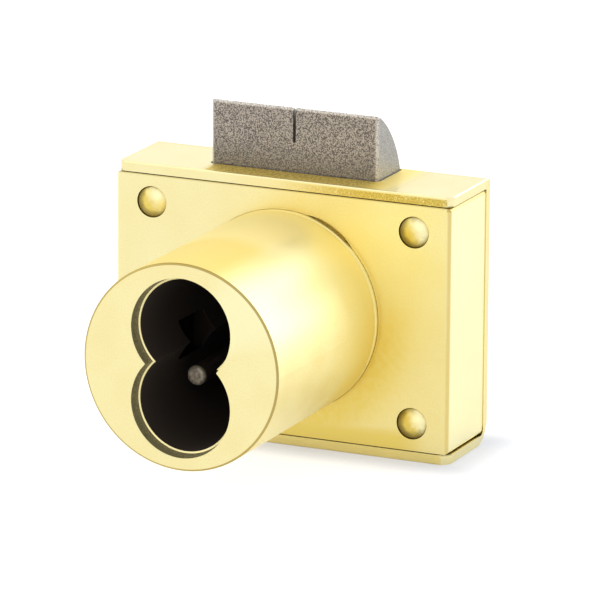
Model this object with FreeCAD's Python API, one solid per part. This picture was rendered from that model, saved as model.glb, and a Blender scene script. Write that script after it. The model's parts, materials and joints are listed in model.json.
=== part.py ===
# Drawer lock for an interchangeable figure-eight core, in millimetres.
# The origin is on the barrel axis, in the plane of the front plate's outer face.
# +X is to the right and +Z up for someone facing the core, +Y points into the case.
import FreeCAD, Part
import os
from math import asin, atan2, cos, hypot, pi, radians, sin, sqrt, tan

# Barrel that passes through the drawer front
BARREL_DIAMETER = 31.75
BARREL_FACE_EDGE = 0.3
BASE_BAND_WIDTH = 0.55
BASE_SLOPE_LENGTH = 0.45
BASE_GROOVE_DEPTH = 0.37
BASE_GROOVE_LEAD = 0.15
BARREL_NECK_STEP = 0.35
BARREL_BORE_GAP = 0.05
BORE_RELIEF_RADIUS = 10.0
BORE_RELIEF_DEPTH = 0.42
BORE_RELIEF_ANGLE = 60.0

# Figure-eight pocket for the core
CORE_FLANGE_DIAMETER = 16.2
CORE_BODY_DIAMETER = 15.1
CORE_CENTRES = 11.3
CORE_DROP = 0.15
CORE_SEAT_DEPTH = 2.0
CORE_LENGTH = 38.4
CORE_END_GAP = 0.25
LUG_SLOT_WIDTH = 8.6
LUG_SLOT_HEIGHT = 6.1
LUG_SLOT_DEPTH = 3.6
LUG_SLOT_FROM_FACE = 14.2

# Front case: a plate with two side walls
CASE_SHIFT_X = -0.29
CASE_SHIFT_Z = -0.3
FRONT_SHEET = 1.5
FRONT_BEND = 0.6
FRONT_INNER_BEND = 0.3
PLATE_CORNER = 0.6
SEAM_GAP = 0.15

# U-shaped cover: top flange, back, bottom flange
COVER_SIDE_STEP = 0.02
COVER_SHIFT_X = -0.125
COVER_HEIGHT = 41.88
COVER_DEPTH = 15.2
COVER_SHEET = 1.55
COVER_TOP_BEND = 1.35
COVER_TOP_INNER_BEND = 0.4
COVER_BOTTOM_BEND = 4.5
COVER_BOTTOM_INNER_BEND = 1.0
TOP_FLANGE_CORNER = 1.5
BOTTOM_FLANGE_CORNER = 2.2
FLANGE_EDGE = 0.25
WALL_TOP_CLEARANCE = 0.3
WALL_BOTTOM_CLEARANCE = 0.5

# Plates behind the front plate
BARREL_FLANGE_THICKNESS = 1.5
FLANGE_SIDE_GAP = 1.075
FLANGE_END_GAP = 1.6
INNER_CORNER = 2.0
MECHANISM_SHEET = 1.5
FOOT_BEYOND_ROD = 2.9
FOOT_REAR_GAP = 0.9
FOOT_BEND = 2.2
FOOT_SEAT_GAP = 0.05

# Posts with domed ends, and the screws of the cover
POST_SIDE_INSET = 5.975
POST_END_INSET = 5.975
POST_DIAMETER = 4.75
POST_HOLE_GAP = 0.1
POST_SHOULDER_STEP = 0.375
POST_BOLT_GAP = 1.51
DOME_HEIGHT = 0.95
DOME_PROUD = 0.75
SCREW_DIAMETER = 3.0
SCREW_HOLE_GAP = 0.03
SCREW_REACH = 6.6
SCREW_HOLE_SPARE = 0.8
SCREW_HEAD_LAND = 0.55
SCREW_HEAD_SINK = 0.15
SCREW_TIP = 0.4
COUNTERSINK_GAP = 0.06
DRIVE_SLOT_WIDTH = 0.8
DRIVE_SLOT_LENGTH = 3.0
DRIVE_SLOT_DEPTH = 0.9

# Latch bolt
BOLT_WIDTH = 27.82
BOLT_SHIFT_X = -0.15
BOLT_PLATE_GAP = 0.28
BOLT_BACK_GAP = 0.3
BOLT_THROW = 10.1
BOLT_SUNK = 0.07
BOLT_CORNER = 0.6
BOLT_BACK_CORNER = 0.1
BOLT_TIP_CORNER = 0.45
BOLT_BACK_RADIUS = 17.0
BOLT_BACK_START = 0.05
BOLT_NOSE_FLAT = 0.25
BOLT_NOSE_EDGE = 0.18
SLIT_WIDTH = 0.5
SLIT_HEIGHT = 5.4
SLIT_DEPTH = 3.0
SLOT_GAP = 0.3
SHOULDER_BEYOND_ROD = 2.31
SHOULDER_HEIGHT = 6.6
SHOULDER_INSET = 0.2
STOP_GAP = 0.1
TAIL_HUB_GAP = 1.3
TAIL_WINDOW_GAP = 0.3
TAIL_LEG_WIDTH = 1.4
TAIL_BAR_HEIGHT = 4.0
TAIL_CORNER = 1.2
LEDGE_GAP = 0.35

# Springs of the bolt and the rods inside them
ROD_DIAMETER = 2.2
ROD_FROM_BOLT = 1.39
ROD_TOP_GAP = 2.6
ROD_TIP = 0.4
ROD_SEAT_GAP = 0.02
ROD_BORE_GAP = 0.08
SPRING_WIRE = 0.6
SPRING_OUTER_DIAMETER = 4.4
SPRING_TURNS = 9
SPRING_END_TURNS = 1
SPRING_END_PITCH = 1.3
SPRING_LEAD = 1.2
SPRING_SEAT_GAP = 0.02

# Throw member, turned by the core through a quarter turn
THROW_RIM_SIDE_GAP = 0.35
THROW_RIM_THICKNESS = 0.7
THROW_RIM_GAP = 0.05
THROW_JOURNAL_STEP = 0.6
THROW_JOURNAL_GAP = 0.06
THROW_NECK_DIAMETER = 8.0
THROW_FLAT_DEPTH = 1.0
THROW_TAIL = 0.7
THROW_FIT_GAP = 0.03
PRONG_DIAMETER = 3.15
PRONG_RADIUS = 4.44
PRONG_FROM_FACE = 14.6
PRONG_ANGLE = 175.6
PRONG_SEAT = 2.0
PRONG_TIP = 0.75
CAM_THICKNESS = 2.3
CAM_PLATE_GAP = 0.2
CAM_HUB_STEP = 0.9
CAM_ARM_WALL = 1.2
CAM_START_ANGLE = 45.0
DRIVE_PIN_DIAMETER = 4.0
DRIVE_PIN_STEP = 0.5
DRIVE_PIN_END_GAP = 0.25
CLIP_PIN_GAP = 0.24
CLIP_THICKNESS = 0.6
CLIP_GROOVE_DEPTH = 0.8
CLIP_GAP = 0.04
CLIP_MOUTH = 5.0

# Places worked out from the sizes above
BARREL_RADIUS = BARREL_DIAMETER / 2
LOBE_UPPER_Z = CORE_CENTRES / 2 - CORE_DROP
LOBE_LOWER_Z = -CORE_CENTRES / 2 - CORE_DROP
NECK_RADIUS = BARREL_RADIUS - BARREL_NECK_STEP
FLANGE_Y = FRONT_SHEET
PLATE_Y = FLANGE_Y + BARREL_FLANGE_THICKNESS
STACK_Y = PLATE_Y + MECHANISM_SHEET
BACK_Y = COVER_DEPTH - COVER_SHEET
POST_RADIUS = POST_DIAMETER / 2
POST_SHOULDER_RADIUS = POST_RADIUS + POST_SHOULDER_STEP
ROD_OFFSET = BOLT_WIDTH / 2 + ROD_FROM_BOLT
SHOULDER_HALF = ROD_OFFSET + SHOULDER_BEYOND_ROD
POST_SPACING_X = 2 * (SHOULDER_HALF + POST_BOLT_GAP + POST_SHOULDER_RADIUS)
POST_SPACING_Z = COVER_HEIGHT - 2 * POST_END_INSET
CASE_WIDTH = POST_SPACING_X + 2 * POST_SIDE_INSET
COVER_WIDTH = CASE_WIDTH - 2 * COVER_SIDE_STEP
FLANGE_WIDTH = CASE_WIDTH - 2 * (FRONT_SHEET + FLANGE_SIDE_GAP)
FLANGE_HEIGHT = COVER_HEIGHT - 2 * (COVER_SHEET + FLANGE_END_GAP)
CASE_LEFT = CASE_SHIFT_X - CASE_WIDTH / 2
CASE_RIGHT = CASE_SHIFT_X + CASE_WIDTH / 2
COVER_LEFT = COVER_SHIFT_X - COVER_WIDTH / 2
COVER_RIGHT = COVER_SHIFT_X + COVER_WIDTH / 2
COVER_TOP = CASE_SHIFT_Z + COVER_HEIGHT / 2
COVER_BOTTOM = CASE_SHIFT_Z - COVER_HEIGHT / 2
ROOF_Z = COVER_TOP - COVER_SHEET
FLOOR_Z = COVER_BOTTOM + COVER_SHEET
PLATE_TOP = ROOF_Z - SEAM_GAP
PLATE_BOTTOM = FLOOR_Z + SEAM_GAP
POST_HOLE_RADIUS = POST_RADIUS + POST_HOLE_GAP
SCREW_RADIUS = SCREW_DIAMETER / 2
SCREW_HEAD_RADIUS = SCREW_RADIUS + COVER_SHEET - SCREW_HEAD_LAND
BOLT_X = CASE_SHIFT_X + BOLT_SHIFT_X
BOLT_FRONT = STACK_Y + BOLT_PLATE_GAP
BOLT_REAR = BACK_Y - BOLT_BACK_GAP
BOLT_TOP = COVER_TOP + BOLT_THROW - BOLT_SUNK
SHOULDER_TOP = ROOF_Z - STOP_GAP
SHOULDER_BOTTOM = SHOULDER_TOP - SHOULDER_HEIGHT
FOOT_BOTTOM = FLOOR_Z + FOOT_SEAT_GAP
FOOT_TOP = FOOT_BOTTOM + MECHANISM_SHEET
SPRING_Y = (BOLT_FRONT + BOLT_REAR) / 2
RIM_REAR = PLATE_Y - THROW_RIM_GAP
RIM_FRONT = RIM_REAR - THROW_RIM_THICKNESS
FACE_Y = RIM_FRONT - CORE_END_GAP - CORE_LENGTH
RIM_RADIUS = CORE_BODY_DIAMETER / 2 - THROW_RIM_SIDE_GAP
JOURNAL_RADIUS = RIM_RADIUS - THROW_JOURNAL_STEP
THROW_NECK_RADIUS = THROW_NECK_DIAMETER / 2
THROW_FLAT = THROW_NECK_RADIUS - THROW_FLAT_DEPTH
CLIP_GROOVE_RADIUS = THROW_NECK_RADIUS - CLIP_GROOVE_DEPTH
CAM_FRONT = STACK_Y + CAM_PLATE_GAP
CAM_REAR = CAM_FRONT + CAM_THICKNESS
CLIP_FRONT = CAM_REAR + CLIP_GAP
CLIP_REAR = CLIP_FRONT + CLIP_THICKNESS
GROOVE_REAR = CLIP_REAR + CLIP_GAP
HUB_REAR = GROOVE_REAR + THROW_TAIL
TAIL_FRONT = HUB_REAR + TAIL_HUB_GAP
DRIVE_PIN_RADIUS = DRIVE_PIN_DIAMETER / 2
DRIVE_PIN_SEAT_RADIUS = DRIVE_PIN_RADIUS - DRIVE_PIN_STEP
CAM_PIN_RADIUS = BOLT_THROW / 2 / sin(radians(CAM_START_ANGLE))
CAM_PIN_X = CAM_PIN_RADIUS * cos(radians(CAM_START_ANGLE))
CAM_PIN_Z = LOBE_LOWER_Z + CAM_PIN_RADIUS * sin(radians(CAM_START_ANGLE))
CLIP_RADIUS = CAM_PIN_RADIUS - DRIVE_PIN_RADIUS - CLIP_PIN_GAP
LEDGE_Z = CAM_PIN_Z - DRIVE_PIN_RADIUS - LEDGE_GAP
TAIL_HALF_WINDOW = CAM_PIN_RADIUS + DRIVE_PIN_RADIUS + abs(BOLT_X) + TAIL_WINDOW_GAP
THROUGH = 1.0
SAME_PLACE = 1e-6
QUARTERS = 4
SPRING_SAMPLES = 4
SIDES = ((-1, "left"), (1, "right"))
LEVELS = ((1, "upper"), (-1, "lower"))


def point(x, y, z):
    return FreeCAD.Vector(x, y, z)


def block(x0, x1, y0, y1, z0, z1):
    return Part.makeBox(x1 - x0, y1 - y0, z1 - z0, point(x0, y0, z0))


def rod_y(radius, y0, y1, x, z):
    return Part.makeCylinder(radius, y1 - y0, point(x, y0, z), point(0, 1, 0))


def rod_z(radius, z0, z1, x, y):
    return Part.makeCylinder(radius, z1 - z0, point(x, y, z0), point(0, 0, 1))


def cone_y(radius0, radius1, y0, y1, x, z):
    return Part.makeCone(radius0, radius1, y1 - y0, point(x, y0, z), point(0, 1, 0))


def rounded_outline(corners, place):
    """Face of a polygon; each corner is (u, v, radius), and place puts (u, v) in space."""
    stretches = []
    count = len(corners)
    for i in range(count):
        u, v, radius = corners[i]
        before = corners[i - 1]
        after = corners[(i + 1) % count]
        if radius == 0:
            stretches.append(((u, v), None, (u, v)))
            continue
        a = (before[0] - u, before[1] - v)
        b = (after[0] - u, after[1] - v)
        a_length = hypot(*a)
        b_length = hypot(*b)
        a = (a[0] / a_length, a[1] / a_length)
        b = (b[0] / b_length, b[1] / b_length)
        half_angle = abs(atan2(a[0] * b[1] - a[1] * b[0], a[0] * b[0] + a[1] * b[1])) / 2
        reach = radius / tan(half_angle)
        middle = (a[0] + b[0], a[1] + b[1])
        middle_length = hypot(*middle)
        sag = (radius / sin(half_angle) - radius) / middle_length
        first = (u + a[0] * reach, v + a[1] * reach)
        top = (u + middle[0] * sag, v + middle[1] * sag)
        last = (u + b[0] * reach, v + b[1] * reach)
        stretches.append((first, top, last))
    edges = []
    for i in range(count):
        first, top, last = stretches[i]
        if top is not None:
            edges.append(Part.Arc(place(*first), place(*top), place(*last)).toShape())
        following = stretches[(i + 1) % count][0]
        if hypot(following[0] - last[0], following[1] - last[1]) > SAME_PLACE:
            edges.append(Part.LineSegment(place(*last), place(*following)).toShape())
    return Part.Face(Part.Wire(edges))


def prism_x(corners, x0, x1):
    face = rounded_outline(corners, lambda u, v: point(x0, u, v))
    return face.extrude(point(x1 - x0, 0, 0))


def prism_y(corners, y0, y1):
    face = rounded_outline(corners, lambda u, v: point(u, y0, v))
    return face.extrude(point(0, y1 - y0, 0))


def prism_z(corners, z0, z1):
    face = rounded_outline(corners, lambda u, v: point(u, v, z0))
    return face.extrude(point(0, 0, z1 - z0))


def rectangle(u0, u1, v0, v1, radius):
    return ((u0, v0, radius), (u1, v0, radius), (u1, v1, radius), (u0, v1, radius))


def turned_y(profile, x, z):
    """Solid of revolution about the Y direction; profile holds (radius, y, corner radius)."""
    face = rounded_outline(profile, lambda u, v: point(x + u, v, z))
    return face.revolve(point(x, 0, z), point(0, 1, 0), 360)


def turned_z(profile, x, y):
    """Solid of revolution about the Z direction; profile holds (radius, z, corner radius)."""
    face = rounded_outline(profile, lambda u, v: point(x + u, y, v))
    return face.revolve(point(x, y, 0), point(0, 0, 1), 360)


def figure_eight(diameter, y0, y1):
    upper = rod_y(diameter / 2, y0, y1, 0, LOBE_UPPER_Z)
    lower = rod_y(diameter / 2, y0, y1, 0, LOBE_LOWER_Z)
    return upper.fuse(lower).removeSplitter()


def post_places():
    """Every post with its name, x and z."""
    places = []
    for level, level_name in LEVELS:
        for side, side_name in SIDES:
            x = CASE_SHIFT_X + side * POST_SPACING_X / 2
            z = CASE_SHIFT_Z + level * POST_SPACING_Z / 2
            places.append((level_name + "_" + side_name, x, z))
    return places


def bored(shape, radius, y0, y1):
    """The shape with a hole at every post."""
    for _, x, z in post_places():
        shape = shape.cut(rod_y(radius, y0, y1, x, z))
    return shape


def front_case():
    inner_left = CASE_LEFT + FRONT_SHEET
    inner_right = CASE_RIGHT - FRONT_SHEET
    section = (
        (CASE_LEFT, BACK_Y, 0),
        (CASE_LEFT, 0, FRONT_BEND),
        (CASE_RIGHT, 0, FRONT_BEND),
        (CASE_RIGHT, BACK_Y, 0),
        (inner_right, BACK_Y, 0),
        (inner_right, FRONT_SHEET, FRONT_INNER_BEND),
        (inner_left, FRONT_SHEET, FRONT_INNER_BEND),
        (inner_left, BACK_Y, 0),
    )
    shell = prism_z(section, PLATE_BOTTOM, PLATE_TOP)
    front = rectangle(CASE_LEFT, CASE_RIGHT, PLATE_BOTTOM, PLATE_TOP, PLATE_CORNER)
    shell = shell.common(prism_y(front, 0, BACK_Y))
    # The walls' rear corners clear the inside of the cover's bends.
    side = (
        (0, PLATE_BOTTOM, 0),
        (BACK_Y, PLATE_BOTTOM, COVER_BOTTOM_INNER_BEND + WALL_BOTTOM_CLEARANCE),
        (BACK_Y, PLATE_TOP, COVER_TOP_INNER_BEND + WALL_TOP_CLEARANCE),
        (0, PLATE_TOP, 0),
    )
    shell = shell.common(prism_x(side, CASE_LEFT, CASE_RIGHT))
    bore_radius = BARREL_RADIUS + BARREL_BORE_GAP
    shell = shell.cut(rod_y(bore_radius, -THROUGH, FRONT_SHEET + THROUGH, 0, 0))
    # A crescent at the bore's upper right stays open beside the barrel.
    relief_offset = bore_radius + BORE_RELIEF_DEPTH - BORE_RELIEF_RADIUS
    aim = radians(BORE_RELIEF_ANGLE)
    shell = shell.cut(rod_y(BORE_RELIEF_RADIUS, -THROUGH, FRONT_SHEET + THROUGH,
                            relief_offset * cos(aim), relief_offset * sin(aim)))
    return bored(shell, POST_HOLE_RADIUS, -THROUGH, FRONT_SHEET + THROUGH)


def bolt_plan(half, front, rear, front_corner, rear_corner):
    """Rectangle about the bolt's middle with one radius for its front and one for its rear corners."""
    return (
        (BOLT_X - half, front, front_corner),
        (BOLT_X + half, front, front_corner),
        (BOLT_X + half, rear, rear_corner),
        (BOLT_X - half, rear, rear_corner),
    )


def back_cover():
    section = (
        (0, COVER_TOP, FLANGE_EDGE),
        (COVER_DEPTH, COVER_TOP, COVER_TOP_BEND),
        (COVER_DEPTH, COVER_BOTTOM, COVER_BOTTOM_BEND),
        (0, COVER_BOTTOM, FLANGE_EDGE),
        (0, FLOOR_Z, 0),
        (BACK_Y, FLOOR_Z, COVER_BOTTOM_INNER_BEND),
        (BACK_Y, ROOF_Z, COVER_TOP_INNER_BEND),
        (0, ROOF_Z, 0),
    )
    sheet = prism_x(section, COVER_LEFT, COVER_RIGHT)
    halves = []
    for corner, low, high in ((BOTTOM_FLANGE_CORNER, COVER_BOTTOM, CASE_SHIFT_Z),
                              (TOP_FLANGE_CORNER, CASE_SHIFT_Z, COVER_TOP)):
        plan = (
            (COVER_LEFT, 0, corner),
            (COVER_RIGHT, 0, corner),
            (COVER_RIGHT, COVER_DEPTH, FLANGE_EDGE),
            (COVER_LEFT, COVER_DEPTH, FLANGE_EDGE),
        )
        halves.append(sheet.common(prism_z(plan, low, high)))
    cover = halves[0].fuse(halves[1]).removeSplitter()
    front = rectangle(COVER_LEFT, COVER_RIGHT, COVER_BOTTOM, COVER_TOP, FLANGE_EDGE)
    cover = cover.common(prism_y(front, 0, COVER_DEPTH))
    slot = bolt_plan(BOLT_WIDTH / 2 + SLOT_GAP, BOLT_FRONT - SLOT_GAP, BACK_Y,
                     BOLT_CORNER + SLOT_GAP, BOLT_BACK_CORNER + SLOT_GAP)
    cover = cover.cut(prism_z(slot, ROOF_Z - THROUGH, COVER_TOP + THROUGH))
    hole_radius = SCREW_RADIUS + COUNTERSINK_GAP
    sink_radius = SCREW_HEAD_RADIUS + SCREW_HEAD_SINK + COUNTERSINK_GAP
    sink_depth = sink_radius - hole_radius
    for _, x, z in post_places():
        cover = cover.cut(rod_y(hole_radius, BACK_Y - THROUGH, COVER_DEPTH + THROUGH, x, z))
        cover = cover.cut(cone_y(hole_radius, sink_radius, COVER_DEPTH - sink_depth, COVER_DEPTH, x, z))
    return cover


def inner_plate(y0, y1):
    """Plate as wide and high as the inside of the case lets it be, less its gaps."""
    outline = rectangle(CASE_SHIFT_X - FLANGE_WIDTH / 2, CASE_SHIFT_X + FLANGE_WIDTH / 2,
                        CASE_SHIFT_Z - FLANGE_HEIGHT / 2, CASE_SHIFT_Z + FLANGE_HEIGHT / 2,
                        INNER_CORNER)
    return prism_y(outline, y0, y1)


def barrel_housing():
    # A groove near the base slopes out to a narrow band against the front plate.
    groove_y = -BASE_BAND_WIDTH - BASE_SLOPE_LENGTH
    profile = (
        (0, FACE_Y, 0),
        (BARREL_RADIUS, FACE_Y, BARREL_FACE_EDGE),
        (BARREL_RADIUS, groove_y - BASE_GROOVE_LEAD, 0),
        (BARREL_RADIUS - BASE_GROOVE_DEPTH, groove_y, 0),
        (BARREL_RADIUS, -BASE_BAND_WIDTH, 0),
        (BARREL_RADIUS, 0, 0),
        (NECK_RADIUS, 0, 0),
        (NECK_RADIUS, PLATE_Y, 0),
        (0, PLATE_Y, 0),
    )
    barrel = turned_y(profile, 0, 0).fuse(inner_plate(FLANGE_Y, PLATE_Y))
    barrel = barrel.cut(figure_eight(CORE_FLANGE_DIAMETER, FACE_Y - THROUGH, FACE_Y + CORE_SEAT_DEPTH))
    barrel = barrel.cut(figure_eight(CORE_BODY_DIAMETER, FACE_Y, PLATE_Y + THROUGH))
    # The core's lug swings into this slot in the left wall, where the lobes meet.
    waist = sqrt((CORE_BODY_DIAMETER / 2) ** 2 - (CORE_CENTRES / 2) ** 2)
    slot = block(-waist - LUG_SLOT_DEPTH, 0, FACE_Y + LUG_SLOT_FROM_FACE,
                 FACE_Y + LUG_SLOT_FROM_FACE + LUG_SLOT_WIDTH,
                 -CORE_DROP - LUG_SLOT_HEIGHT / 2, -CORE_DROP + LUG_SLOT_HEIGHT / 2)
    barrel = barrel.cut(slot)
    return bored(barrel, POST_HOLE_RADIUS, FLANGE_Y - THROUGH, PLATE_Y + THROUGH).removeSplitter()


def rod_places():
    """Both guide rods with their side's name and x."""
    return [(name, BOLT_X + side * ROD_OFFSET) for side, name in SIDES]


def mechanism_plate():
    """Upright plate with the journal's bore, folded at the bottom into a foot for springs and rods."""
    foot_half = ROD_OFFSET + FOOT_BEYOND_ROD
    foot_rear = BACK_Y - COVER_BOTTOM_INNER_BEND - FOOT_REAR_GAP
    foot = (
        (PLATE_Y, 0, 0),
        (PLATE_Y, FOOT_BOTTOM, FOOT_BEND),
        (foot_rear, FOOT_BOTTOM, 0),
        (foot_rear, FOOT_TOP, 0),
        (STACK_Y, FOOT_TOP, FOOT_BEND - MECHANISM_SHEET),
        (STACK_Y, 0, 0),
    )
    plate = inner_plate(PLATE_Y, STACK_Y).fuse(prism_x(foot, BOLT_X - foot_half, BOLT_X + foot_half))
    plate = plate.cut(rod_y(JOURNAL_RADIUS + THROW_JOURNAL_GAP, PLATE_Y - THROUGH, STACK_Y + THROUGH,
                            0, LOBE_LOWER_Z))
    seat = ROD_DIAMETER / 2 + ROD_SEAT_GAP
    for _, x in rod_places():
        plate = plate.cut(rod_z(seat, FOOT_BOTTOM - THROUGH, FOOT_TOP + THROUGH, x, SPRING_Y))
    return bored(plate, POST_HOLE_RADIUS, PLATE_Y - THROUGH, STACK_Y + THROUGH).removeSplitter()


def post(x, z):
    """Post with a domed front end, a shoulder behind the plates and a blind hole from the rear."""
    ball = (POST_RADIUS ** 2 + DOME_HEIGHT ** 2) / (2 * DOME_HEIGHT)
    tip = -DOME_PROUD
    rim = tip + DOME_HEIGHT
    half = asin(POST_RADIUS / ball) / 2
    crown = Part.Arc(point(x, tip, z),
                     point(x + ball * sin(half), tip + ball * (1 - cos(half)), z),
                     point(x + POST_RADIUS, rim, z)).toShape()
    hole = SCREW_RADIUS + SCREW_HOLE_GAP
    hole_end = COVER_DEPTH - SCREW_REACH - SCREW_HOLE_SPARE
    steps = ((POST_RADIUS, rim), (POST_RADIUS, STACK_Y), (POST_SHOULDER_RADIUS, STACK_Y),
             (POST_SHOULDER_RADIUS, BACK_Y), (hole, BACK_Y), (hole, hole_end), (0, hole_end), (0, tip))
    edges = [crown]
    for start, end in zip(steps, steps[1:]):
        edges.append(Part.LineSegment(point(x + start[0], start[1], z),
                                      point(x + end[0], end[1], z)).toShape())
    face = Part.Face(Part.Wire(edges))
    return face.revolve(point(x, 0, z), point(0, 1, 0), 360)


def cover_screw(x, z):
    """Countersunk screw with a crossed drive recess."""
    top = COVER_DEPTH - SCREW_HEAD_SINK
    tip = COVER_DEPTH - SCREW_REACH
    profile = (
        (0, tip, 0),
        (SCREW_RADIUS - SCREW_TIP, tip, 0),
        (SCREW_RADIUS, tip + SCREW_TIP, 0),
        (SCREW_RADIUS, top - (SCREW_HEAD_RADIUS - SCREW_RADIUS), 0),
        (SCREW_HEAD_RADIUS, top, 0),
        (0, top, 0),
    )
    screw = turned_y(profile, x, z)
    half_width = DRIVE_SLOT_WIDTH / 2
    half_length = DRIVE_SLOT_LENGTH / 2
    bottom = top - DRIVE_SLOT_DEPTH
    screw = screw.cut(block(x - half_length, x + half_length, bottom, top + THROUGH,
                            z - half_width, z + half_width))
    return screw.cut(block(x - half_width, x + half_width, bottom, top + THROUGH,
                           z - half_length, z + half_length))


def bolt_nose(half):
    """Prism of the bolt's side view: upright front, narrow top and a back that rides up the strike."""
    left = BOLT_X - half
    nose = (BOLT_FRONT + BOLT_NOSE_FLAT, BOLT_TOP)
    root = (BOLT_REAR, COVER_TOP + BOLT_BACK_START)
    chord = (root[0] - nose[0], root[1] - nose[1])
    chord_length = hypot(*chord)
    sag = BOLT_BACK_RADIUS - sqrt(BOLT_BACK_RADIUS ** 2 - (chord_length / 2) ** 2)
    crest = ((nose[0] + root[0]) / 2 - chord[1] * sag / chord_length,
             (nose[1] + root[1]) / 2 + chord[0] * sag / chord_length)
    back = Part.Arc(point(left, *nose), point(left, *crest), point(left, *root)).toShape()
    steps = (root, (BOLT_REAR, SHOULDER_BOTTOM), (BOLT_FRONT, SHOULDER_BOTTOM),
             (BOLT_FRONT, BOLT_TOP - BOLT_NOSE_EDGE), (BOLT_FRONT + BOLT_NOSE_EDGE, BOLT_TOP), nose)
    edges = [back]
    for first, last in zip(steps, steps[1:]):
        edges.append(Part.LineSegment(point(left, *first), point(left, *last)).toShape())
    return Part.Face(Part.Wire(edges)).extrude(point(2 * half, 0, 0))


def latch_bolt():
    """Bolt with a rounded back, shoulders on the guide rods and a frame that the drive pin works in."""
    half = BOLT_WIDTH / 2
    left = BOLT_X - half
    right = BOLT_X + half
    head_plan = bolt_plan(half, BOLT_FRONT, BOLT_REAR, BOLT_CORNER, BOLT_BACK_CORNER)
    head = prism_z(head_plan, SHOULDER_BOTTOM, BOLT_TOP)
    front = (
        (left, SHOULDER_BOTTOM, 0),
        (right, SHOULDER_BOTTOM, 0),
        (right, BOLT_TOP, BOLT_TIP_CORNER),
        (left, BOLT_TOP, BOLT_TIP_CORNER),
    )
    head = head.common(bolt_nose(half)).common(prism_y(front, BOLT_FRONT, BOLT_REAR))
    plan = rectangle(BOLT_X - SHOULDER_HALF, BOLT_X + SHOULDER_HALF,
                     BOLT_FRONT + SHOULDER_INSET, BOLT_REAR - SHOULDER_INSET, BOLT_CORNER)
    bolt = head.fuse(prism_z(plan, SHOULDER_BOTTOM, SHOULDER_TOP))
    # The tail is a frame: the drive pin presses on its lower bar from inside the window.
    outer = TAIL_HALF_WINDOW + TAIL_LEG_WIDTH
    frame = rectangle(BOLT_X - outer, BOLT_X + outer, LEDGE_Z - TAIL_BAR_HEIGHT,
                      SHOULDER_BOTTOM + THROUGH, TAIL_CORNER)
    tail = prism_y(frame, TAIL_FRONT, BOLT_REAR)
    window = block(BOLT_X - TAIL_HALF_WINDOW, BOLT_X + TAIL_HALF_WINDOW, TAIL_FRONT - THROUGH,
                   BOLT_REAR + THROUGH, LEDGE_Z, SHOULDER_BOTTOM)
    bolt = bolt.fuse(tail.cut(window))
    bolt = bolt.cut(block(BOLT_X - SLIT_WIDTH / 2, BOLT_X + SLIT_WIDTH / 2, BOLT_FRONT - THROUGH,
                          BOLT_FRONT + SLIT_DEPTH, BOLT_TOP - SLIT_HEIGHT, BOLT_TOP + THROUGH))
    bore = ROD_DIAMETER / 2 + ROD_BORE_GAP
    for _, x in rod_places():
        bolt = bolt.cut(rod_z(bore, SHOULDER_BOTTOM - THROUGH, SHOULDER_TOP + THROUGH, x, SPRING_Y))
    return bolt.removeSplitter()


def guide_rod(x):
    top = SHOULDER_TOP - ROD_TOP_GAP
    radius = ROD_DIAMETER / 2
    profile = (
        (0, FOOT_BOTTOM, 0),
        (radius, FOOT_BOTTOM, 0),
        (radius, top - ROD_TIP, 0),
        (radius - ROD_TIP, top, 0),
        (0, top, 0),
    )
    return turned_z(profile, x, SPRING_Y)


def biarc(start, start_way, end, end_way):
    """Two arcs that join start to end and leave and arrive in the given directions."""
    chord = end - start
    spread = 2 - 2 * start_way.dot(end_way)
    along = chord.dot(start_way + end_way)
    reach = (sqrt(along ** 2 + spread * chord.dot(chord)) - along) / spread
    first = start + start_way * reach
    last = end - end_way * reach
    joint = (first + last) * 0.5
    arcs = []
    for a, corner, b in ((start, first, joint), (joint, last, end)):
        base = (a + b) * 0.5
        rise = corner - base
        half_chord = (b - a).Length / 2
        slope = atan2(rise.Length, half_chord)
        sag = half_chord * tan(slope / 2)
        arcs.append(Part.Arc(a, base + rise * (sag / rise.Length), b).toShape())
    return arcs


def spring_point(turn, height, coil, x):
    """Point and direction of the coil's centre line after so many turns."""
    end_height = SPRING_END_PITCH * SPRING_END_TURNS
    pitch = (height - 2 * end_height) / (SPRING_TURNS - 2 * SPRING_END_TURNS)
    if turn < SPRING_END_TURNS:
        z = SPRING_END_PITCH * turn
        rate = SPRING_END_PITCH
    elif turn > SPRING_TURNS - SPRING_END_TURNS:
        z = height - SPRING_END_PITCH * (SPRING_TURNS - turn)
        rate = SPRING_END_PITCH
    else:
        z = end_height + pitch * (turn - SPRING_END_TURNS)
        rate = pitch
    angle = 2 * pi * turn
    place = point(x + coil * cos(angle), SPRING_Y + coil * sin(angle), z)
    way = point(-sin(angle) * 2 * pi * coil, cos(angle) * 2 * pi * coil, rate)
    return place, way.normalize()


def least_gap(edges):
    """Clear distance from one turn of the wire to the next, measured at points along its line."""
    places = []
    for edge in edges:
        for step in range(SPRING_SAMPLES):
            places.append(edge.valueAt(edge.getParameterByLength(edge.Length * step / SPRING_SAMPLES)))
    half_turn = QUARTERS * SPRING_SAMPLES
    return min(here.distanceToPoint(there)
               for i, here in enumerate(places) for there in places[i + half_turn:]) - SPRING_WIRE


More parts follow.
